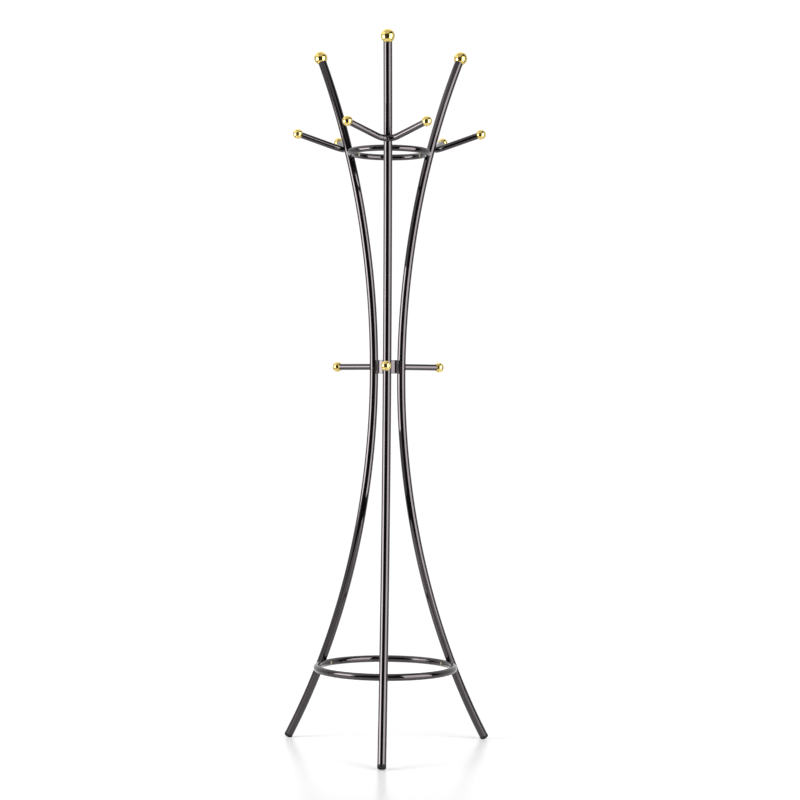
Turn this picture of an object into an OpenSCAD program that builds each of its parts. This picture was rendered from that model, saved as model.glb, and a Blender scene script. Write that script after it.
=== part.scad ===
// Free-standing coat stand: three bent tube legs in two halves, two rings, a waist band,
// three V-shaped hook arms, three straight pegs and a ball on every free end.
// Millimetres, +Z up, origin on the stand's axis at floor level, front leg towards -Y.

/* [Overall] */
// Height of the top of the highest balls
overall_h = 1800; // [1740:1:1840]
// Distance of each leg's centre line from the stand's axis where the legs are closest
waist_r = 40.5; // [38:0.5:45]
// Height where the legs are closest
waist_z = 955; // [945:1:965]
// Bend radius of the legs above the waist
upper_bend_r = 2095; // [2000:5:2200]
// Bend radius of the legs below the waist
lower_bend_r = 1880; // [1800:5:1980]

/* [Tubes] */
// Outer diameter of the leg tube
leg_d = 22; // [20:0.5:24]
// Outer diameter of the hook arm and peg tube
rod_d = 16; // [14:0.5:17]
// Outer diameter of the top ring's tube
top_ring_tube_d = 16; // [14:0.5:17]
// Outer diameter of the bottom ring's tube
bottom_ring_tube_d = 18; // [16:0.5:20]
// Wall thickness of every tube
tube_wall = 1.2; // [1:0.1:1.5]

/* [Rings and waist] */
// Height of the top ring's centre line
top_ring_z = 1523; // [1480:1:1535]
// Height of the bottom ring's centre line
bottom_ring_z = 205; // [180:1:300]
// Height of the pegs and of the middle of the waist band
peg_z = 975; // [970:1:985]
// Height of the waist band
band_h = 34; // [28:1:40]
// Wall thickness of the waist band
band_wall = 3; // [2:0.5:4]

/* [Hook arms] */
// Height on the leg's axis where a hook arm is bolted on
arm_leg_z = 1546; // [1544:1:1600]
// Length from the corner of the V to a ball's centre
arm_len = 134; // [115:1:150]
// Angle between one arm and the middle of the V
arm_half_angle = 46.5; // [42:0.5:55]
// Slope of the V above the horizontal
arm_rise = 24.5; // [18:0.5:32]
// Bend radius of the V's corner
arm_bend_r = 36; // [30:1:42]

/* [Pegs and balls] */
// Distance of a peg ball's centre from the stand's axis
peg_ball_r = 152; // [120:1:180]
// Diameter of the balls on the leg tops
top_ball_d = 35; // [30:0.5:40]
// Diameter of the balls on the hook arms and pegs
small_ball_d = 25.5; // [22:0.5:30]

/* [Feet] */
// Length of a foot cap below the end of the tube
foot_head_l = 7; // [6:0.5:9]
// Rounding of the foot cap's lower edge
foot_edge_r = 2; // [1:0.5:2.5]
// How much of the foot cap's lowest corner is flattened to stand on the floor
foot_flat_cut = 2; // [1.5:0.5:2.5]

/* [Hidden] */
// Facets shown on small rounds, and on the long bends of legs and rings
round_fn = 64;
arc_fn = 256;

// Clearances: between tubes that touch, around pieces that fit inside one another,
// and between a peg's root and the leg that it is cut to fit
touch_gap = 0.05;
fit_gap = 0.1;
saddle_gap = 0.15;
// Extra depth of a cut past a surface
past = 1;
// A straight of the hook arm starts this far inside its bend, and is this much thinner all
// round, so that the two are one tube
bend_overlap = 0.5;
bend_step = 0.1;

// Joint between the leg halves
seam_below_peg = 8;
seam_z = peg_z - seam_below_peg;
sleeve_l = 90;
sleeve_wall = 1.5;
sleeve_d = leg_d - 2 * tube_wall - 2 * fit_gap;
sleeve_bend_r = (upper_bend_r + lower_bend_r) / 2;

// Peg stud and its nut
stud_d = 8;
stud_hole_d = 8.4;
peg_plug_l = 15;
peg_nut_w = 13;
peg_nut_h = 6.5;
stud_past_nut = 2;
rod_plug_d = rod_d - 2 * tube_wall - 2 * fit_gap;

// Ball studs
top_stud_plug_l = 18;
top_stud_l = 16;
small_stud_plug_l = 12;
small_stud_l = 10;
small_stud_d = 6;

// Ring and hook arm screws, and the threaded bushes in the legs that take them
screw_d = 6;
screw_hole_d = 6.4;
screw_head_d = 11;
screw_head_h = 4;
screw_socket_w = 4;
screw_socket_depth = 2;
arm_screw_head_d = 9;
arm_screw_head_h = 3;
// Screw heads stand this far off the hollow of the tubes that they clamp
ring_head_lift = 0.2;
arm_head_lift = 0.5;
bush_d = 9;
bush_wall_inset = 0.4;
bush_stop = 2;
screw_stop = 3;

// Foot cap plug inside the tube
foot_plug_l = 20;

// Legs, going round the stand
sides = ["front", "left", "right"];

// Bend radius, distance from the stand's axis and lean of the leg's centre line at a height
function bend_r(z) = z > waist_z ? upper_bend_r : lower_bend_r;
function offset_r(z, off) =
    waist_r + bend_r(z) - sqrt(pow(bend_r(z) + off, 2) - pow(z - waist_z, 2));
function leg_r(z) = offset_r(z, 0);
function leg_lean(z) = asin((z - waist_z) / bend_r(z));
function azimuth(side) = side == "front" ? -90 : side == "left" ? 150 : 30;
// Distance from a ball's centre to the flat on which it meets a tube of diameter d
function ball_seat(ball_d, d) = sqrt(pow(ball_d / 2, 2) - pow(d / 2, 2));

// Ends of the leg tube
top_seat = ball_seat(top_ball_d, leg_d);
top_ball_z = overall_h - top_ball_d / 2;
leg_top_z = top_ball_z - top_seat * cos(leg_lean(top_ball_z));
foot_lean = leg_lean(0);
foot_face_z = leg_d / 2 * sin(-foot_lean) - foot_flat_cut;
leg_bottom_z = foot_face_z + foot_head_l * cos(foot_lean);

// Rings sit inside the legs, and their circles follow from the legs' lean
top_ring_r = offset_r(top_ring_z, (leg_d + top_ring_tube_d) / 2 + touch_gap);
bottom_ring_r = offset_r(bottom_ring_z, (leg_d + bottom_ring_tube_d) / 2 + touch_gap);
band_r = leg_r(waist_z) - leg_d / 2 - fit_gap;

// Hook arm
arm_off = (leg_d + rod_d) / 2 + touch_gap;
arm_tilt = arm_rise + leg_lean(arm_leg_z);
small_seat = ball_seat(small_ball_d, rod_d);
arm_straight_l = arm_len - arm_bend_r / tan(arm_half_angle) - small_seat;
arm_bend_sweep = 90 - arm_half_angle;

// Peg
peg_root_r = leg_r(peg_z) + leg_d / 2 - past;
peg_end_r = peg_ball_r - small_seat;
peg_saddle_d = leg_d + 2 * saddle_gap;
peg_face_r = leg_r(peg_z) + leg_d / 2 + rod_d / 4;
nut_face_r = sqrt(pow(band_r - band_wall, 2) - pow(peg_nut_w / 2 / cos(30), 2)) - fit_gap;

// ---------- placing ----------

// Turns a piece drawn towards +X to its leg
module on_side(side) {
    rotate([0, 0, azimuth(side)])
        children();
}

module on_each_side() {
    for (side = sides)
        on_side(side)
            children();
}

// Local Z runs up the leg's axis, local X points away from the stand
module on_leg_axis(z) {
    translate([leg_r(z), 0, z])
        rotate([0, leg_lean(z), 0])
            children();
}

// Local Z points straight out from the stand's axis
module radial_at(r, z) {
    translate([r, 0, z])
        rotate([0, 90, 0])
            children();
}

// Local Z points down the leg's tube at its end, from the tube's end face
module at_foot() {
    on_leg_axis(leg_bottom_z)
        rotate([180, 0, 0])
            translate([0, 0, touch_gap])
                children();
}

// Hook arm's own plane: apex of the V at the origin, opening towards +X
module in_arm_plane() {
    on_leg_axis(arm_leg_z)
        translate([arm_off, 0, 0])
            rotate([0, -arm_tilt, 0])
                children();
}

// Local Z runs along one straight of the hook arm, from the end of its bend; hand is 1 or -1
module at_arm_straight(hand) {
    translate([arm_bend_r * (1 - cos(arm_bend_sweep)), hand * arm_bend_r * sin(arm_bend_sweep), 0])
        rotate([0, 0, hand * arm_half_angle])
            rotate([0, 90, 0])
                children();
}

// ---------- shared shapes ----------

// Round bar of diameter d along the leg's bend between two heights
module leg_bar(bend, z_low, z_high, d) {
    low_a = asin((z_low - waist_z) / bend);
    high_a = asin((z_high - waist_z) / bend);
    translate([waist_r + bend, 0, waist_z])
        rotate([90, 0, 0])
            rotate_extrude(start = 180 - high_a, angle = high_a - low_a, $fn = arc_fn)
                translate([bend, 0])
                    circle(d = d, $fn = round_fn);
}

module leg_tube(bend, z_low, z_high) {
    difference() {
        leg_bar(bend, z_low, z_high, leg_d);
        leg_bar(bend, z_low - past, z_high + past, leg_d - 2 * tube_wall);
    }
}

// Tube bent into a closed circle, with a screw hole through it at every leg
module ring(r, z, d) {
    difference() {
        translate([0, 0, z])
            rotate_extrude($fn = arc_fn)
                translate([r, 0])
                    difference() {
                        circle(d = d, $fn = round_fn);
                        circle(d = d - 2 * tube_wall, $fn = round_fn);
                    }
        on_each_side()
            radial_at(r - d, z)
                cylinder(d = screw_hole_d, h = 2 * d, $fn = round_fn);
    }
}

// Ball with a flat and a blind threaded hole on its -Z side
module ball(d, seat, hole_d, hole_l) {
    difference() {
        sphere(d = d, $fn = round_fn);
        translate([0, 0, -seat - d])
            cylinder(d = 2 * d, h = d, $fn = round_fn);
        translate([0, 0, -seat - past])
            cylinder(d = hole_d + 2 * fit_gap, h = hole_l + 2 * past, $fn = round_fn);
    }
}

// Turned stud: a plug that sits inside a tube's end and a thread standing out along +Z
module plug_stud(plug_d, plug_l, thread_d, thread_l) {
    translate([0, 0, -plug_l])
        cylinder(d = plug_d, h = plug_l, $fn = round_fn);
    cylinder(d = thread_d, h = thread_l, $fn = round_fn);
}

// Domed screw: head below the origin, thread along +Z
module domed_screw(head_d, head_h, length) {
    dome_r = (pow(head_d / 2, 2) + pow(head_h, 2)) / (2 * head_h);
    difference() {
        intersection() {
            translate([0, 0, dome_r - head_h])
                sphere(r = dome_r, $fn = round_fn);
            translate([0, 0, -head_h])
                cylinder(d = head_d, h = head_h, $fn = round_fn);
        }
        translate([0, 0, -head_h - past])
            cylinder(d = screw_socket_w / cos(30), h = screw_socket_depth + past, $fn = 6);
    }
    cylinder(d = screw_d, h = length, $fn = round_fn);
}

// Threaded bush along +Z
module bush(length) {
    difference() {
        cylinder(d = bush_d, h = length, $fn = round_fn);
        translate([0, 0, -past])
            cylinder(d = screw_d + 2 * fit_gap, h = length + 2 * past, $fn = round_fn);
    }
}

// ---------- legs ----------

// Where a ring's bush starts: just under the leg's inner surface
function ring_bush_r(z) = leg_r(z) - (leg_d / 2 - bush_wall_inset) / cos(leg_lean(z));
function ring_bush_l(z) = leg_r(z) - bush_stop - ring_bush_r(z);

module ring_bush_hole(z) {
    radial_at(ring_bush_r(z) - leg_d / 4, z)
        cylinder(d = bush_d + 2 * fit_gap, h = leg_d / 2, $fn = round_fn);
}

module arm_bush_hole() {
    on_leg_axis(arm_leg_z)
        rotate([0, 90, 0])
            translate([0, 0, leg_d / 4])
                cylinder(d = bush_d + 2 * fit_gap, h = leg_d / 2, $fn = round_fn);
}

module peg_stud_hole() {
    radial_at(leg_r(peg_z) - leg_d, peg_z)
        cylinder(d = stud_hole_d, h = 2 * leg_d, $fn = round_fn);
}

module upper_leg(side) {
    color([0.22, 0.20, 0.21])
        on_side(side)
            difference() {
                leg_tube(upper_bend_r, seam_z, leg_top_z);
                ring_bush_hole(top_ring_z);
                arm_bush_hole();
                peg_stud_hole();
            }
}

module lower_leg(side) {
    color([0.22, 0.20, 0.21])
        on_side(side)
            difference() {
                leg_tube(lower_bend_r, leg_bottom_z, seam_z);
                ring_bush_hole(bottom_ring_z);
            }
}

module joint_sleeve(side) {
    color([0.60, 0.60, 0.60])
        on_side(side)
            difference() {
                leg_bar(sleeve_bend_r, seam_z - sleeve_l / 2, seam_z + sleeve_l / 2, sleeve_d);
                leg_bar(sleeve_bend_r, seam_z - sleeve_l / 2 - past, seam_z + sleeve_l / 2 + past,
                        sleeve_d - 2 * sleeve_wall);
                peg_stud_hole();
            }
}

module foot_cap(side) {
    head_r = leg_d / 2;
    color([0.06, 0.06, 0.06])
        on_side(side)
            difference() {
                at_foot() {
                    rotate_extrude($fn = round_fn)
                        difference() {
                            square([head_r, foot_head_l]);
                            translate([head_r - foot_edge_r, foot_head_l - foot_edge_r])
                                difference() {
                                    square(foot_edge_r + past);
                                    circle(r = foot_edge_r, $fn = round_fn);
                                }
                        }
                    translate([0, 0, -foot_plug_l])
                        cylinder(d = sleeve_d, h = foot_plug_l, $fn = round_fn);
                }
                translate([leg_r(0) - leg_d, -leg_d, -leg_d])
                    cube([2 * leg_d, 2 * leg_d, leg_d]);
            }
}

// ---------- rings and band ----------

module top_ring() {
    color([0.22, 0.20, 0.21])
        ring(top_ring_r, top_ring_z, top_ring_tube_d);
}

module bottom_ring() {
    color([0.22, 0.20, 0.21])
        ring(bottom_ring_r, bottom_ring_z, bottom_ring_tube_d);
}

module waist_band() {
    color([0.22, 0.20, 0.21])
        difference() {
            translate([0, 0, peg_z - band_h / 2])
                cylinder(r = band_r, h = band_h, $fn = arc_fn);
            translate([0, 0, peg_z - band_h / 2 - past])
                cylinder(r = band_r - band_wall, h = band_h + 2 * past, $fn = arc_fn);
            on_each_side()
                radial_at(band_r - 2 * band_wall, peg_z)
                    cylinder(d = stud_hole_d, h = 3 * band_wall, $fn = round_fn);
        }
}

// ---------- leg tops ----------

module top_ball(side) {
    color([0.85, 0.65, 0.25])
        on_side(side)
            on_leg_axis(leg_top_z)
                translate([0, 0, top_seat + touch_gap])
                    ball(top_ball_d, top_seat, stud_d, top_stud_l);
}

module top_ball_studs() {
    color([0.60, 0.60, 0.60])
        on_each_side()
            on_leg_axis(leg_top_z)
                plug_stud(sleeve_d, top_stud_plug_l, stud_d, top_stud_l);
}

// ---------- hook arms ----------

module arm_bar(d, extra) {
    translate([arm_bend_r, 0, 0])
        rotate_extrude(start = 180 - arm_bend_sweep, angle = 2 * arm_bend_sweep, $fn = arc_fn)
            translate([arm_bend_r, 0])
                circle(d = d, $fn = round_fn);
    for (hand = [1, -1])
        at_arm_straight(hand)
            translate([0, 0, -bend_overlap])
                cylinder(d = d - 2 * bend_step, h = arm_straight_l + bend_overlap + extra,
                         $fn = round_fn);
}

module hook_arm(side) {
    color([0.22, 0.20, 0.21])
        on_side(side)
            difference() {
                in_arm_plane()
                    difference() {
                        arm_bar(rod_d, 0);
                        arm_bar(rod_d - 2 * tube_wall, past);
                    }
                on_leg_axis(arm_leg_z)
                    rotate([0, 90, 0])
                        cylinder(d = screw_hole_d, h = arm_off + rod_d, $fn = round_fn);
            }
}

module hook_ball(side, hand) {
    color([0.85, 0.65, 0.25])
        on_side(side)
            in_arm_plane()
                at_arm_straight(hand)
                    translate([0, 0, arm_straight_l + small_seat + touch_gap])
                        ball(small_ball_d, small_seat, small_stud_d, small_stud_l);
}

// ---------- pegs ----------

module peg(side) {
    color([0.22, 0.20, 0.21])
        on_side(side)
            difference() {
                radial_at(peg_root_r, peg_z)
                    difference() {
                        cylinder(d = rod_d, h = peg_end_r - peg_root_r, $fn = round_fn);
                        translate([0, 0, -past])
                            cylinder(d = rod_d - 2 * tube_wall, h = peg_end_r - peg_root_r + 2 * past,
                                     $fn = round_fn);
                    }
                translate([leg_r(peg_z), 0, peg_z - rod_d])
                    cylinder(d = peg_saddle_d, h = 2 * rod_d, $fn = round_fn);
            }
}

module peg_ball(side) {
    color([0.85, 0.65, 0.25])
        on_side(side)
            radial_at(peg_ball_r + touch_gap, peg_z)
                ball(small_ball_d, small_seat, small_stud_d, small_stud_l);
}

// Thread points inwards through the leg, its sleeve and the band
module peg_studs() {
    color([0.60, 0.60, 0.60])
        on_each_side()
            radial_at(peg_face_r, peg_z)
                mirror([0, 0, 1])
                    plug_stud(rod_plug_d, peg_plug_l, stud_d,
                              peg_face_r - nut_face_r + peg_nut_h + stud_past_nut);
}

module peg_nuts() {
    color([0.60, 0.60, 0.60])
        on_each_side()
            radial_at(nut_face_r - peg_nut_h, peg_z)
                difference() {
                    cylinder(d = peg_nut_w / cos(30), h = peg_nut_h, $fn = 6);
                    translate([0, 0, -past])
                        cylinder(d = stud_d + 2 * fit_gap, h = peg_nut_h + 2 * past, $fn = round_fn);
                }
}

module small_ball_studs() {
    color([0.60, 0.60, 0.60])
        on_each_side() {
            radial_at(peg_end_r, peg_z)
                plug_stud(rod_plug_d, small_stud_plug_l, small_stud_d, small_stud_l);
            in_arm_plane()
                for (hand = [1, -1])
                    at_arm_straight(hand)
                        translate([0, 0, arm_straight_l])
                            plug_stud(rod_plug_d, small_stud_plug_l, small_stud_d, small_stud_l);
        }
}

// ---------- screws ----------

module ring_screws(r, z, d) {
    head_r = r - d / 2 - ring_head_lift;
    on_each_side()
        radial_at(head_r, z)
            domed_screw(screw_head_d, screw_head_h, leg_r(z) - screw_stop - head_r);
}

module top_ring_screws() {
    color([0.75, 0.75, 0.75])
        ring_screws(top_ring_r, top_ring_z, top_ring_tube_d);
}

module bottom_ring_screws() {
    color([0.75, 0.75, 0.75])
        ring_screws(bottom_ring_r, bottom_ring_z, bottom_ring_tube_d);
}

module hook_arm_screws() {
    head_x = arm_off + rod_d / 2 + arm_head_lift;
    color([0.22, 0.20, 0.21])
        on_each_side()
            on_leg_axis(arm_leg_z)
                translate([head_x, 0, 0])
                    rotate([0, -90, 0])
                        domed_screw(arm_screw_head_d, arm_screw_head_h, head_x - screw_stop);
}

module leg_bushes() {
    color([0.60, 0.60, 0.60])
        on_each_side() {
            for (z = [top_ring_z, bottom_ring_z])
                radial_at(ring_bush_r(z), z)
                    bush(ring_bush_l(z));
            on_leg_axis(arm_leg_z)
                rotate([0, 90, 0])
                    translate([0, 0, bush_stop])
                        bush(leg_d / 2 - bush_wall_inset - bush_stop);
        }
}

upper_leg("front");  // upper_leg_front
upper_leg("left");  // upper_leg_left
upper_leg("right");  // upper_leg_right
lower_leg("front");  // lower_leg_front
lower_leg("left");  // lower_leg_left
lower_leg("right");  // lower_leg_right
joint_sleeve("front");  // joint_sleeve_front
joint_sleeve("left");  // joint_sleeve_left
joint_sleeve("right");  // joint_sleeve_right
foot_cap("front");  // foot_cap_front
foot_cap("left");  // foot_cap_left
foot_cap("right");  // foot_cap_right
top_ring();
bottom_ring();
waist_band();
top_ball("front");  // top_ball_front
top_ball("left");  // top_ball_left
top_ball("right");  // top_ball_right
top_ball_studs();
hook_arm("front");  // hook_arm_front
hook_arm("left");  // hook_arm_left
hook_arm("right");  // hook_arm_right
hook_ball("front", -1);  // hook_ball_front_left
hook_ball("front", 1);  // hook_ball_front_right
hook_ball("left", -1);  // hook_ball_left_rear
hook_ball("left", 1);  // hook_ball_left_front
hook_ball("right", -1);  // hook_ball_right_front
hook_ball("right", 1);  // hook_ball_right_rear
peg("front");  // peg_front
peg("left");  // peg_left
peg("right");  // peg_right
peg_ball("front");  // peg_ball_front
peg_ball("left");  // peg_ball_left
peg_ball("right");  // peg_ball_right
peg_studs();
peg_nuts();
small_ball_studs();
top_ring_screws();
bottom_ring_screws();
hook_arm_screws();
leg_bushes();
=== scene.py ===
"""Looks of the free-standing coat stand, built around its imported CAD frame. Metres, +Z up."""
import math

import bmesh
import bpy
from mathutils import Matrix, Vector

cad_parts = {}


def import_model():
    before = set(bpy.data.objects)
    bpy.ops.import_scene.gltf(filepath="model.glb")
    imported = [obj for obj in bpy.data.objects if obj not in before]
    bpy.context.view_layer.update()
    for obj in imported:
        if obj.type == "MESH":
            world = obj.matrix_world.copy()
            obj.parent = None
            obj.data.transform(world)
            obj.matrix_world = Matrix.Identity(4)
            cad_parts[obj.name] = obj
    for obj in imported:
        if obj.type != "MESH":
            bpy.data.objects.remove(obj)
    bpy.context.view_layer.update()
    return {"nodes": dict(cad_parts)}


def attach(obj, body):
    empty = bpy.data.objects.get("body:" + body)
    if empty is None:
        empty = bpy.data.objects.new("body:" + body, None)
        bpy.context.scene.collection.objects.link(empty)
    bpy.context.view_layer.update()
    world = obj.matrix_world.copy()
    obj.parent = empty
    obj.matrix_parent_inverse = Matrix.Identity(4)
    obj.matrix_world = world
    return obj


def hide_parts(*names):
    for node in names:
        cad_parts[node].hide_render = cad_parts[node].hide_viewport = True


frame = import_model()

# ---------------------------------------------------------------- driving sizes, as in the CAD

MM = 0.001
WAIST_R = 40.5 * MM
WAIST_Z = 955 * MM
UPPER_BEND = 2095 * MM
LOWER_BEND = 1880 * MM
LEG_R = 11 * MM
ROD_R = 8 * MM
WALL = 1.2 * MM
SEAM_Z = 967 * MM
OVERALL_H = 1800 * MM
TOP_BALL_R = 17.5 * MM
SMALL_BALL_R = 12.75 * MM
TOP_RING_Z = 1523 * MM
TOP_RING_TUBE_R = 8 * MM
BOTTOM_RING_Z = 205 * MM
BOTTOM_RING_TUBE_R = 9 * MM
PEG_Z = 975 * MM
PEG_BALL_R = 152 * MM
BAND_H = 34 * MM
BAND_WALL = 3 * MM
ARM_LEG_Z = 1546 * MM
ARM_LEN = 134 * MM
ARM_HALF_ANGLE = math.radians(46.5)
ARM_RISE = math.radians(24.5)
ARM_BEND_R = 36 * MM
FOOT_HEAD_L = 7 * MM
FOOT_FLAT_CUT = 2 * MM
TOUCH_GAP = 0.05 * MM
FIT_GAP = 0.1 * MM
SADDLE_GAP = 0.15 * MM

AZIMUTH = {"front": -90, "left": 150, "right": 30}

# Fits inside the tubes, ball studs and screws
SLEEVE_R = LEG_R - WALL - FIT_GAP
TOP_STUD_R = 4 * MM
TOP_STUD_L = 16 * MM
SMALL_STUD_R = 3 * MM
SMALL_STUD_L = 10 * MM
FOOT_PLUG_L = 20 * MM
FOOT_EDGE_R = 2 * MM
RING_HEAD_R = 5.5 * MM
RING_HEAD_H = 4 * MM
ARM_HEAD_R = 4.5 * MM
ARM_HEAD_H = 3 * MM
HEAD_LIFT = {"ring": 0.2 * MM, "arm": 0.5 * MM}

# Rounding of cut edges, and how finely round pieces are divided
TUBE_EDGE = 0.5 * MM
BAND_EDGE = 0.9 * MM
BALL_EDGE = 0.3 * MM
AROUND = 64
EDGE_STEPS = 4
RING_STEPS = 240
BALL_STEPS = 40
DOME_STEPS = 8
ARM_STEPS = 140
PEG_STEPS = 24
UPPER_LEG_STEPS = 96
LOWER_LEG_STEPS = 108
SHARP_DEG = 40

# Screw heads: how far their skirts reach down round the tube, and their sockets
RING_SKIRT = 2.4 * MM
ARM_SKIRT = 1.6 * MM
ARM_SINK = 0.8 * MM
SOCKET_FLAT_R = 2 * MM
SOCKET_DEPTH = 2 * MM
HEXAGON = 6
DIMPLE_R = 9 * MM
DIMPLE_DEPTH = 1.4 * MM

# Every ball on a hook arm: the arm's side, where the ball sits, and which end of the arm it is on
HOOK_BALLS = [("front", "left", -1), ("front", "right", 1), ("left", "rear", -1),
              ("left", "front", 1), ("right", "front", -1), ("right", "rear", 1)]

# Fasteners that stay out of sight inside the tubes
HIDDEN_FASTENERS = ("top_ball_studs", "peg_studs", "peg_nuts", "small_ball_studs", "leg_bushes")


def offset_r(z, off):
    """Distance from the stand's axis to a curve that runs beside a leg's centre line."""
    bend = UPPER_BEND if z > WAIST_Z else LOWER_BEND
    return WAIST_R + bend - math.sqrt((bend + off) ** 2 - (z - WAIST_Z) ** 2)


def leg_r(z):
    return offset_r(z, 0)


def leg_lean(z):
    return math.asin((z - WAIST_Z) / (UPPER_BEND if z > WAIST_Z else LOWER_BEND))


def ball_seat(ball_r, tube_r):
    return math.sqrt(ball_r ** 2 - tube_r ** 2)


def on_side(side):
    return Matrix.Rotation(math.radians(AZIMUTH[side]), 4, "Z")


def on_leg_axis(z):
    """Local Z runs up the leg's axis, local X points away from the stand."""
    return Matrix.Translation((leg_r(z), 0, z)) @ Matrix.Rotation(leg_lean(z), 4, "Y")


TOP_BALL_Z = OVERALL_H - TOP_BALL_R
LEG_TOP_Z = TOP_BALL_Z - ball_seat(TOP_BALL_R, LEG_R) * math.cos(leg_lean(TOP_BALL_Z))
FOOT_LEAN = leg_lean(0)
LEG_BOTTOM_Z = (LEG_R * math.sin(-FOOT_LEAN) - FOOT_FLAT_CUT
                + FOOT_HEAD_L * math.cos(FOOT_LEAN))
TOP_RING_R = offset_r(TOP_RING_Z, LEG_R + TOP_RING_TUBE_R + TOUCH_GAP)
BOTTOM_RING_R = offset_r(BOTTOM_RING_Z, LEG_R + BOTTOM_RING_TUBE_R + TOUCH_GAP)
BAND_R = leg_r(WAIST_Z) - LEG_R - FIT_GAP
SMALL_SEAT = ball_seat(SMALL_BALL_R, ROD_R)
ARM_OFF = LEG_R + ROD_R + TOUCH_GAP
ARM_TILT = ARM_RISE + leg_lean(ARM_LEG_Z)
ARM_BEND_HALF_L = ARM_BEND_R * (math.pi / 2 - ARM_HALF_ANGLE)
ARM_HALF_L = ARM_BEND_HALF_L + ARM_LEN - ARM_BEND_R / math.tan(ARM_HALF_ANGLE) - SMALL_SEAT
PEG_END_R = PEG_BALL_R - SMALL_SEAT
RINGS = [("top_ring", TOP_RING_R, TOP_RING_Z, TOP_RING_TUBE_R),
         ("bottom_ring", BOTTOM_RING_R, BOTTOM_RING_Z, BOTTOM_RING_TUBE_R)]


# ---------------------------------------------------------------- placing, as in the CAD

def radial_at(r, z, inwards=False):
    """Local Z points straight out from the stand's axis, or straight in to it."""
    return Matrix.Translation((r, 0, z)) @ Matrix.Rotation(math.radians(-90 if inwards else 90), 4, "Y")


def in_arm_plane():
    """Hook arm's own plane: apex of the V at the origin, opening towards +X."""
    return (on_leg_axis(ARM_LEG_Z) @ Matrix.Translation((ARM_OFF, 0, 0))
            @ Matrix.Rotation(-ARM_TILT, 4, "Y"))


def along_arm(t):
    """Local Z runs along the arm's centre line, at distance t from the apex of the V."""
    turn = max(-ARM_BEND_HALF_L, min(ARM_BEND_HALF_L, t)) / ARM_BEND_R
    along = Vector((math.sin(turn), math.cos(turn), 0))
    at = ARM_BEND_R * Vector((1 - math.cos(turn), math.sin(turn), 0)) + (t - ARM_BEND_R * turn) * along
    local = Matrix(((math.cos(turn), -math.sin(turn), 0), (0, 0, -1), along)).transposed().to_4x4()
    return Matrix.Translation(at) @ local


def arm_end(hand):
    """Local Z points out of the arm's end; hand is 1 or -1."""
    flip = Matrix.Rotation(math.pi if hand < 0 else 0, 4, "X")
    return in_arm_plane() @ along_arm(hand * ARM_HALF_L) @ flip


# ---------------------------------------------------------------- mesh helpers

def finish_piece(name, bm, material, slot, *nodes):
    """Turns a bmesh into a smooth-shaded piece with crisp edges, which stands for the CAD nodes."""
    bmesh.ops.recalc_face_normals(bm, faces=bm.faces)
    mesh = bpy.data.meshes.new(name)
    bm.to_mesh(mesh)
    bm.free()
    mesh.shade_smooth()
    mesh.set_sharp_from_angle(angle=math.radians(SHARP_DEG))
    mesh.materials.append(material)
    piece = bpy.data.objects.new(name, mesh)
    bpy.context.scene.collection.objects.link(piece)
    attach(piece, "root")
    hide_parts(*nodes)


def circle_angles():
    return [2 * math.pi * k / AROUND for k in range(AROUND)]


def quarter_turn():
    return [math.pi / 2 * k / EDGE_STEPS for k in range(EDGE_STEPS + 1)]


def loop_mesh(rows):
    """Skins rows of points into a closed tube-like surface; the last row joins the first."""
    bm = bmesh.new()
    rings = [[bm.verts.new(point) for point in row] for row in rows]
    count = len(rows[0])
    for a, b in zip(rings, rings[1:] + rings[:1]):
        for k in range(count):
            n = (k + 1) % count
            bm.faces.new((a[k], a[n], b[n], b[k]))
    return bm


def turned_mesh(outline, place):
    """Turned solid about local Z; its outline of (radius, height) runs from pole to pole.

    A third value, HEXAGON, makes that ring a hexagon, with the radius measured to its flats.
    """
    bm = bmesh.new()
    rings = []
    for radius, height, *corners in outline:
        if radius == 0:
            rings.append([bm.verts.new(place @ Vector((0, 0, height)))])
            continue
        ring = []
        for a in circle_angles():
            r = radius / math.cos(a % (math.pi / 3) - math.pi / 6) if corners else radius
            ring.append(bm.verts.new(place @ Vector((r * math.cos(a), r * math.sin(a), height))))
        rings.append(ring)
    for a, b in zip(rings, rings[1:]):
        for k in range(AROUND):
            n = (k + 1) % AROUND
            around = (a[k % len(a)], a[n % len(a)], b[n % len(b)], b[k % len(b)])
            bm.faces.new(list(dict.fromkeys(around)))
    return bm


def tube_profile(length, radius, steps):
    """Closed outline of a tube's wall as (distance along, radius), with rounded outer end edges."""
    start = [(TUBE_EDGE * (1 - math.sin(t)), radius - TUBE_EDGE * (1 - math.cos(t)))
             for t in reversed(quarter_turn())]
    start.append((2 * TUBE_EDGE, radius))
    outer = [(length * k / steps, radius) for k in range(1, steps)]
    end = [(length - s, r) for s, r in reversed(start)]
    inner = [(length * (1 - k / steps), radius - WALL) for k in range(steps + 1)]
    return start + outer + end + inner


def tube_rows(profile, place):
    """place(s) gives a matrix whose XY plane cuts the tube at distance s along it."""
    rows = []
    for s, r in profile:
        m = place(s)
        rows.append([m @ Vector((r * math.cos(a), r * math.sin(a), 0)) for a in circle_angles()])
    return rows


# ---------------------------------------------------------------- materials

SCRATCH_DEPTH = 0.0004 * MM
SCRATCH_DULLING = 0.05
RUBBER_GRAIN = 0.05 * MM


def new_material(name):
    material = bpy.data.materials.new(name)
    material.use_nodes = True
    tree = material.node_tree
    shader = tree.nodes["Principled BSDF"]
    return material, tree, shader


def noise(tree, vector, scale, detail=4.0, rough=0.55):
    made = tree.nodes.new("ShaderNodeTexNoise")
    for socket, value in (("Scale", scale), ("Detail", detail), ("Roughness", rough)):
        made.inputs[socket].default_value = value
    tree.links.new(vector, made.inputs["Vector"])
    return made.outputs["Fac"]


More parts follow.
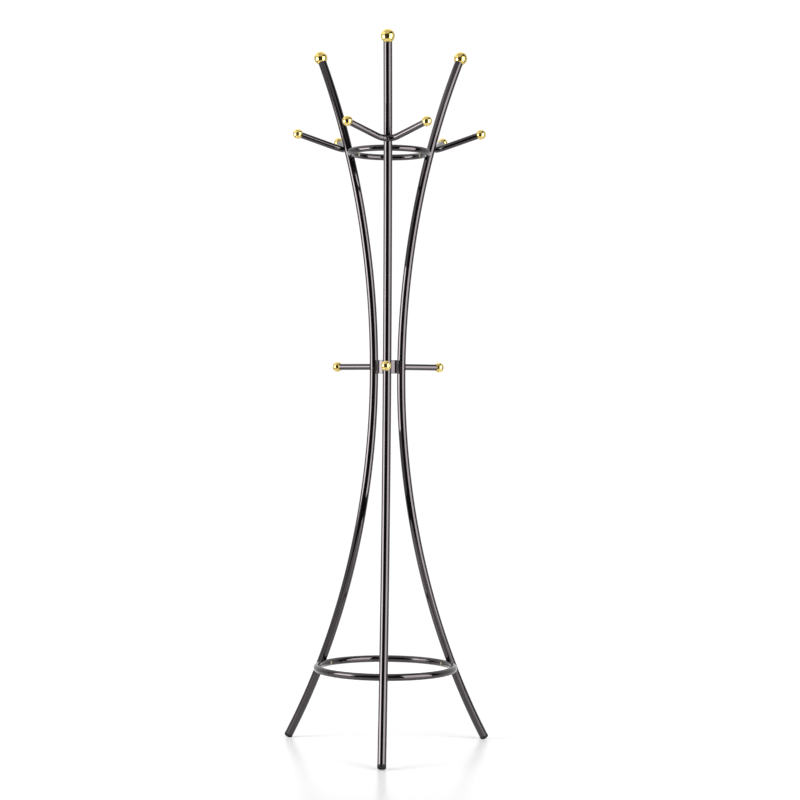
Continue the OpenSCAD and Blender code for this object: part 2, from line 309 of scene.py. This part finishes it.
def ramp(tree, value, stops):
    """Colour ramp through (position, colour) stops."""
    made = tree.nodes.new("ShaderNodeValToRGB")
    elements = made.color_ramp.elements
    elements[0].position, elements[0].color = stops[0][0], (*stops[0][1], 1)
    elements[1].position, elements[1].color = stops[-1][0], (*stops[-1][1], 1)
    for position, color in stops[1:-1]:
        elements.new(position).color = (*color, 1)
    tree.links.new(value, made.inputs["Fac"])
    return made.outputs["Color"]


def remap(tree, value, low, high, to_low, to_high):
    made = tree.nodes.new("ShaderNodeMapRange")
    for socket, v in zip(("From Min", "From Max", "To Min", "To Max"), (low, high, to_low, to_high)):
        made.inputs[socket].default_value = v
    tree.links.new(value, made.inputs["Value"])
    return made.outputs["Result"]


def math_node(tree, operation, a, b):
    made = tree.nodes.new("ShaderNodeMath")
    made.operation = operation
    for socket, v in zip(made.inputs, (a, b)):
        if isinstance(v, (int, float)):
            socket.default_value = v
        else:
            tree.links.new(v, socket)
    return made.outputs[0]


def stretched(tree, source, scale, turn):
    made = tree.nodes.new("ShaderNodeMapping")
    made.inputs["Scale"].default_value = scale
    made.inputs["Rotation"].default_value = turn
    tree.links.new(source, made.inputs["Vector"])
    return made.outputs["Vector"]


def object_coordinates(tree):
    return tree.nodes.new("ShaderNodeTexCoord").outputs["Object"]


def bump(tree, height, distance, below=None):
    """Bump whose full height is distance, in metres."""
    made = tree.nodes.new("ShaderNodeBump")
    made.inputs["Strength"].default_value = 1.0
    made.inputs["Distance"].default_value = distance
    tree.links.new(height, made.inputs["Height"])
    if below is not None:
        tree.links.new(below, made.inputs["Normal"])
    return made.outputs["Normal"]


def hairlines(tree, source):
    """Sparse fine scratches in two directions: 1 on a scratch, 0 elsewhere."""
    total = None
    for turn in ((0.2, 0.1, 0.0), (1.3, 0.4, 0.8)):
        lines = noise(tree, stretched(tree, source, (60, 60, 4), turn), 24.0, detail=1.0)
        line = remap(tree, lines, 0.74, 0.80, 0.0, 1.0)
        total = line if total is None else math_node(tree, "MAXIMUM", total, line)
    return total


def plated(name, dark, light, rough_low, rough_high, peel_height):
    """Polished metal: slow tint drift, handling smudges, faint orange peel and hairline scratches."""
    material, tree, shader = new_material(name)
    link = tree.links.new
    place = object_coordinates(tree)
    drift = noise(tree, place, 9.0, detail=5.0)
    link(ramp(tree, drift, [(0.30, dark), (0.70, light)]), shader.inputs["Base Color"])
    smudge = noise(tree, place, 38.0, detail=6.0, rough=0.6)
    gloss = remap(tree, smudge, 0.42, 0.72, rough_low, rough_high)
    scratches = hairlines(tree, place)
    dulled = math_node(tree, "MULTIPLY", scratches, SCRATCH_DULLING)
    link(math_node(tree, "ADD", gloss, dulled), shader.inputs["Roughness"])
    peel = bump(tree, noise(tree, place, 260.0, detail=1.0), peel_height)
    link(bump(tree, scratches, SCRATCH_DEPTH, below=peel), shader.inputs["Normal"])
    shader.inputs["Metallic"].default_value = 1.0
    return material


black_nickel = plated("black_nickel", (0.067, 0.060, 0.062), (0.079, 0.071, 0.074),
                      0.035, 0.085, 0.004 * MM)
brass = plated("polished_brass", (0.67, 0.50, 0.15), (0.79, 0.615, 0.225), 0.09, 0.16, 0.006 * MM)
zinc = plated("zinc_plated_steel", (0.19, 0.17, 0.14), (0.28, 0.26, 0.21), 0.32, 0.46, 0.02 * MM)


def rubber_material():
    """Moulded black rubber: fine grain, and pale dust caught in it."""
    material, tree, shader = new_material("black_rubber")
    link = tree.links.new
    place = object_coordinates(tree)
    dust = noise(tree, place, 140.0, detail=6.0)
    link(ramp(tree, dust, [(0.35, (0.004, 0.004, 0.004)), (0.62, (0.008, 0.0075, 0.0075)),
                           (0.80, (0.022, 0.021, 0.020))]), shader.inputs["Base Color"])
    link(remap(tree, dust, 0.3, 0.8, 0.45, 0.66), shader.inputs["Roughness"])
    shader.inputs["Specular IOR Level"].default_value = 0.2
    link(bump(tree, noise(tree, place, 1600.0, detail=3.0), RUBBER_GRAIN), shader.inputs["Normal"])
    return material


rubber = rubber_material()


# ---------------------------------------------------------------- legs and feet

def leg_tube(name, side, bend, z_low, z_high, steps, node):
    low = math.asin((z_low - WAIST_Z) / bend)
    high = math.asin((z_high - WAIST_Z) / bend)
    centre = Vector((WAIST_R + bend, 0, WAIST_Z))

    def place(s):
        lean = low + s / bend
        out = Vector((math.cos(lean), 0, -math.sin(lean)))
        along = Vector((math.sin(lean), 0, math.cos(lean)))
        local = Matrix((out, (0, 1, 0), along)).transposed().to_4x4()
        return on_side(side) @ Matrix.Translation(centre - bend * out) @ local

    rows = tube_rows(tube_profile(bend * (high - low), LEG_R, steps), place)
    finish_piece(name, loop_mesh(rows), black_nickel, "black_nickel", node)


def foot(side):
    """Moulded cap with a plug up the tube; the floor plane cuts its lowest corner flat."""
    place = (on_side(side) @ on_leg_axis(LEG_BOTTOM_Z) @ Matrix.Rotation(math.pi, 4, "X")
             @ Matrix.Translation((0, 0, TOUCH_GAP)))
    edge_r = LEG_R - FOOT_EDGE_R
    edge_z = FOOT_HEAD_L - FOOT_EDGE_R
    outline = [(0, -FOOT_PLUG_L), (SLEEVE_R, -FOOT_PLUG_L), (SLEEVE_R, 0), (LEG_R, 0)]
    outline += [(edge_r + FOOT_EDGE_R * math.cos(t), edge_z + FOOT_EDGE_R * math.sin(t))
                for t in quarter_turn()]
    outline += [(0, FOOT_HEAD_L)]
    bm = turned_mesh(outline, place)
    everything = bm.verts[:] + bm.edges[:] + bm.faces[:]
    bmesh.ops.bisect_plane(bm, geom=everything, plane_co=(0, 0, 0), plane_no=(0, 0, -1),
                           clear_outer=True)
    bmesh.ops.holes_fill(bm, edges=[edge for edge in bm.edges if edge.is_boundary])
    finish_piece(f"foot_shoe_{side}", bm, rubber, "rubber", f"foot_cap_{side}")


for side in AZIMUTH:
    leg_tube(f"upper_leg_tube_{side}", side, UPPER_BEND, SEAM_Z, LEG_TOP_Z, UPPER_LEG_STEPS,
             f"upper_leg_{side}")
    leg_tube(f"lower_leg_tube_{side}", side, LOWER_BEND, LEG_BOTTOM_Z, SEAM_Z, LOWER_LEG_STEPS,
             f"lower_leg_{side}")
    foot(side)


# ---------------------------------------------------------------- rings and waist band

def revolved(name, section, node):
    """Closed section of (radius, height) points, carried once round the stand's axis."""
    rows = []
    for k in range(RING_STEPS):
        a = 2 * math.pi * k / RING_STEPS
        rows.append([Vector((r * math.cos(a), r * math.sin(a), z)) for r, z in section])
    finish_piece(name, loop_mesh(rows), black_nickel, "black_nickel", node)


def ring_section(ring_r, z, tube_r):
    return [(ring_r + tube_r * math.cos(a), z + tube_r * math.sin(a)) for a in circle_angles()]


def band_section():
    """Flat strip with rounded edges; a pair of points beside each edge keeps its faces flat."""
    half_w = BAND_WALL / 2
    half_h = BAND_H / 2
    middle = BAND_R - half_w
    corners = []
    for quarter, (across, up) in enumerate(((1, 1), (-1, 1), (-1, -1), (1, -1))):
        centre_r = middle + across * (half_w - BAND_EDGE)
        centre_z = PEG_Z + up * (half_h - BAND_EDGE)
        arc = [(centre_r + BAND_EDGE * math.cos(quarter * math.pi / 2 + t),
                centre_z + BAND_EDGE * math.sin(quarter * math.pi / 2 + t)) for t in quarter_turn()]
        hold = (middle + across * half_w, PEG_Z + up * (half_h - 2 * BAND_EDGE))
        corners += [hold] + arc if across == up else arc + [hold]
    return corners


for ring, ring_r, ring_z, tube_r in RINGS:
    revolved(f"{ring}_tube", ring_section(ring_r, ring_z, tube_r), ring)
revolved("waist_band_strip", band_section(), "waist_band")


# ---------------------------------------------------------------- hook arms

def dimpled(point, side):
    """Presses a shallow seat for the screw's head into the outer side of an arm's corner."""
    to_leg = on_leg_axis(ARM_LEG_Z).inverted() @ on_side(side).inverted()
    x, y, z = to_leg @ point
    reach = math.hypot(y, z) / DIMPLE_R
    if x < ARM_OFF or reach > 1:
        return point
    pressed = Vector((x - DIMPLE_DEPTH * (1 - reach ** 2) ** 2, y, z))
    return to_leg.inverted() @ pressed


def hook_arm(side):
    def place(s):
        return on_side(side) @ in_arm_plane() @ along_arm(s - ARM_HALF_L)

    rows = tube_rows(tube_profile(2 * ARM_HALF_L, ROD_R, ARM_STEPS), place)
    rows = [[dimpled(point, side) for point in row] for row in rows]
    finish_piece(f"hook_arm_tube_{side}", loop_mesh(rows), black_nickel, "black_nickel",
                 f"hook_arm_{side}")


for side in AZIMUTH:
    hook_arm(side)


# ---------------------------------------------------------------- pegs

def peg(side):
    """Tube whose root is cut to the leg's round."""
    rows = []
    length = PEG_END_R - leg_r(PEG_Z)
    for s, r in tube_profile(length, ROD_R, PEG_STEPS):
        share = s / length
        row = []
        for a in circle_angles():
            root = leg_r(PEG_Z) + math.sqrt((LEG_R + SADDLE_GAP) ** 2 - (r * math.sin(a)) ** 2)
            out = root + share * (PEG_END_R - root)
            row.append(on_side(side) @ Vector((out, r * math.sin(a), PEG_Z + r * math.cos(a))))
        rows.append(row)
    finish_piece(f"peg_tube_{side}", loop_mesh(rows), black_nickel, "black_nickel", f"peg_{side}")


for side in AZIMUTH:
    peg(side)


# ---------------------------------------------------------------- balls

def ball(name, radius, tube_r, stud_r, stud_l, place, node):
    """Turned ball with a flat where it meets its tube, and a blind hole for its stud."""
    seat = ball_seat(radius, tube_r)
    hole_r = stud_r + FIT_GAP
    start = -math.asin(seat / radius) + BALL_EDGE / radius
    outline = [(0, stud_l), (hole_r, stud_l), (hole_r, -seat), (tube_r - BALL_EDGE, -seat)]
    for k in range(BALL_STEPS):
        t = start + (math.pi / 2 - start) * k / BALL_STEPS
        outline.append((radius * math.cos(t), radius * math.sin(t)))
    outline.append((0, radius))
    bm = turned_mesh(outline, place @ Matrix.Translation((0, 0, seat + TOUCH_GAP)))
    finish_piece(name, bm, brass, "brass", node)


for side in AZIMUTH:
    ball(f"top_knob_{side}", TOP_BALL_R, LEG_R, TOP_STUD_R, TOP_STUD_L,
         on_side(side) @ on_leg_axis(LEG_TOP_Z), f"top_ball_{side}")
    ball(f"peg_knob_{side}", SMALL_BALL_R, ROD_R, SMALL_STUD_R, SMALL_STUD_L,
         on_side(side) @ radial_at(PEG_END_R, PEG_Z), f"peg_ball_{side}")
for side, where, hand in HOOK_BALLS:
    ball(f"hook_knob_{side}_{where}", SMALL_BALL_R, ROD_R, SMALL_STUD_R, SMALL_STUD_L,
         on_side(side) @ arm_end(hand), f"hook_ball_{side}_{where}")


# ---------------------------------------------------------------- screws

def screw(name, head_r, head_h, skirt, shank_l, place, material, slot, node):
    """Domed screw with a hexagon socket; its skirt beds the flat head into the round tube."""
    dome_r = (head_r ** 2 + head_h ** 2) / (2 * head_h)
    rim = math.asin(head_r / dome_r)
    mouth = math.asin(SOCKET_FLAT_R / math.cos(math.pi / 6) / dome_r)
    outline = [(0, -shank_l), (SMALL_STUD_R, -shank_l), (SMALL_STUD_R, -skirt), (head_r, -skirt)]
    for k in range(DOME_STEPS + 1):
        t = rim + (mouth - rim) * k / DOME_STEPS
        outline.append((dome_r * math.sin(t), dome_r * math.cos(t) - dome_r + head_h))
    mouth_z = outline[-1][1]
    outline += [(SOCKET_FLAT_R, mouth_z, HEXAGON), (SOCKET_FLAT_R, mouth_z - SOCKET_DEPTH, HEXAGON),
                (0, mouth_z - SOCKET_DEPTH)]
    finish_piece(name, turned_mesh(outline, place), material, slot, node)


for side in AZIMUTH:
    for ring, ring_r, ring_z, tube_r in RINGS:
        screw(f"{ring}_screw_{side}", RING_HEAD_R, RING_HEAD_H, RING_SKIRT, leg_r(ring_z) - ring_r,
              on_side(side) @ radial_at(ring_r - tube_r - HEAD_LIFT["ring"], ring_z, inwards=True),
              zinc, "zinc_steel", f"{ring}_screws")
    head_r = ARM_OFF + ROD_R + HEAD_LIFT["arm"] - ARM_SINK
    screw(f"arm_screw_{side}", ARM_HEAD_R, ARM_HEAD_H, ARM_SKIRT, ARM_OFF,
          on_side(side) @ on_leg_axis(ARM_LEG_Z) @ radial_at(head_r, 0),
          black_nickel, "black_nickel", "hook_arm_screws")


# ---------------------------------------------------------------- hidden CAD nodes

for name, cad_object in frame["nodes"].items():
    if name.startswith("joint_sleeve_") or name in HIDDEN_FASTENERS:
        for slot in cad_object.material_slots:
            slot.material = zinc


# ---------------------------------------------------------------- studio

FLOOR_R = 1.5
FLOOR_GLOW = 0.13
RIM_GLOW = 0.40
RIM_START = 0.8
FLOOR_ROUGHNESS = 0.25
# Floor colour in front and behind: the darker front is painted shade against the nearer softboxes
FLOOR_FRONT = 0.56
FLOOR_BACK = 0.95
SOFTBOXES = {
    "softbox_left": {"azimuth": -70, "distance": 2.0, "width": 1.22, "low": 0.55, "high": 1.78,
                     "radiance": 9.2},
    "softbox_right": {"azimuth": 54, "distance": 2.0, "width": 1.78, "low": 0.0, "high": 2.6,
                      "radiance": 5.5},
    "wall_left": {"azimuth": -70, "distance": 2.1, "width": 1.9, "low": 0.0, "high": 3.8,
                  "radiance": 0.85},
}
OVERHEAD = {"left": -2.0, "right": 0.55, "front": -1.8, "back": 1.8, "height": 2.6, "radiance": 0.7}
BACKDROP = 0.85
ROOM = 0.06
SEEN_WHITE = 1.05


def floor_material():
    """Pale, slightly glossy floor: its colour is darker in front as painted shade that evens out the
    stronger light of the nearer softboxes, and it glows towards its rim, where it meets the white
    background."""
    material, tree, shader = new_material("studio_floor")
    at = object_coordinates(tree)
    reach = tree.nodes.new("ShaderNodeVectorMath")
    reach.operation = "LENGTH"
    tree.links.new(at, reach.inputs[0])
    glow = remap(tree, reach.outputs["Value"], RIM_START, FLOOR_R, FLOOR_GLOW, RIM_GLOW)
    place = tree.nodes.new("ShaderNodeSeparateXYZ")
    tree.links.new(at, place.inputs[0])
    # painted shade: the floor's colour ramps from dark in front to pale behind, to even out the
    # softboxes' light
    depth = remap(tree, place.outputs["Y"], -FLOOR_R, FLOOR_R, 0, 1)
    tree.links.new(ramp(tree, depth, [(0.25, (FLOOR_FRONT,) * 3), (0.95, (FLOOR_BACK,) * 3)]),
                   shader.inputs["Base Color"])
    shader.inputs["Roughness"].default_value = FLOOR_ROUGHNESS
    shader.inputs["Emission Color"].default_value = (1, 1, 1, 1)
    tree.links.new(glow, shader.inputs["Emission Strength"])
    return material


def floor():
    bm = bmesh.new()
    bmesh.ops.create_circle(bm, cap_ends=True, segments=128, radius=FLOOR_R)
    mesh = bpy.data.meshes.new("studio_floor")
    bm.to_mesh(mesh)
    bm.free()
    mesh.materials.append(floor_material())
    piece = bpy.data.objects.new("studio_floor", mesh)
    bpy.context.scene.collection.objects.link(piece)


def area_light(name, width, height, radiance, matrix):
    data = bpy.data.lights.new(name, "AREA")
    data.shape = "RECTANGLE"
    data.size = width
    data.size_y = height
    data.energy = radiance * math.pi * width * height
    lamp = bpy.data.objects.new(name, data)
    lamp.matrix_world = matrix
    lamp.visible_camera = False
    bpy.context.scene.collection.objects.link(lamp)


def softbox(name, azimuth, distance, width, low, high, radiance):
    """Upright panel facing the stand; azimuth is seen from above, 0 towards the camera, + right."""
    a = math.radians(azimuth)
    place = Vector((distance * math.sin(a), -distance * math.cos(a), (low + high) / 2))
    face = Vector((-math.sin(a), math.cos(a), 0))
    side = Vector((0, 0, 1)).cross(-face)
    turn = Matrix((side, (0, 0, 1), -face)).transposed().to_4x4()
    area_light(name, width, high - low, radiance, Matrix.Translation(place) @ turn)


def overhead(left, right, front, back, height, radiance):
    centre = Vector(((left + right) / 2, (front + back) / 2, height))
    area_light("overhead", right - left, back - front, radiance, Matrix.Translation(centre))


def world():
    """Lit backdrop behind the stand, dark room in front of it, and plain white for the camera."""
    made = bpy.data.worlds.new("studio")
    bpy.context.scene.world = made
    made.use_nodes = True
    tree = made.node_tree
    link = tree.links.new
    background = tree.nodes["Background"]
    direction = tree.nodes.new("ShaderNodeTexCoord").outputs["Generated"]
    split = tree.nodes.new("ShaderNodeSeparateXYZ")
    link(direction, split.inputs[0])
    behind = remap(tree, split.outputs["Y"], 0.05, 0.30, ROOM, BACKDROP)
    seen = tree.nodes.new("ShaderNodeLightPath").outputs["Is Camera Ray"]
    strength = math_node(tree, "MAXIMUM", behind, math_node(tree, "MULTIPLY", seen, SEEN_WHITE))
    link(strength, background.inputs["Strength"])
    background.inputs["Color"].default_value = (1, 1, 1, 1)


floor()
world()
for name, box in SOFTBOXES.items():
    softbox(name, **box)
overhead(**OVERHEAD)


# ---------------------------------------------------------------- camera

CAMERA_AT = Vector((117.7, -4972.7, 892.0)) * MM
CAMERA_YAW = math.radians(0.98)
CAMERA_PITCH = math.radians(-0.02)
CAMERA_ROLL = math.radians(0.41)
LENS = 87.47


def camera():
    data = bpy.data.cameras.new("camera")
    data.sensor_width = 36.0
    data.lens = LENS
    data.clip_start, data.clip_end = 0.05, 60.0
    piece = bpy.data.objects.new("camera", data)
    bpy.context.scene.collection.objects.link(piece)
    piece.matrix_world = (Matrix.Translation(CAMERA_AT)
                          @ Matrix.Rotation(CAMERA_YAW, 4, "Z")
                          @ Matrix.Rotation(math.radians(90) + CAMERA_PITCH, 4, "X")
                          @ Matrix.Rotation(CAMERA_ROLL, 4, "Z"))
    bpy.context.scene.camera = piece


camera()
bpy.context.scene.view_settings.view_transform = "Standard"
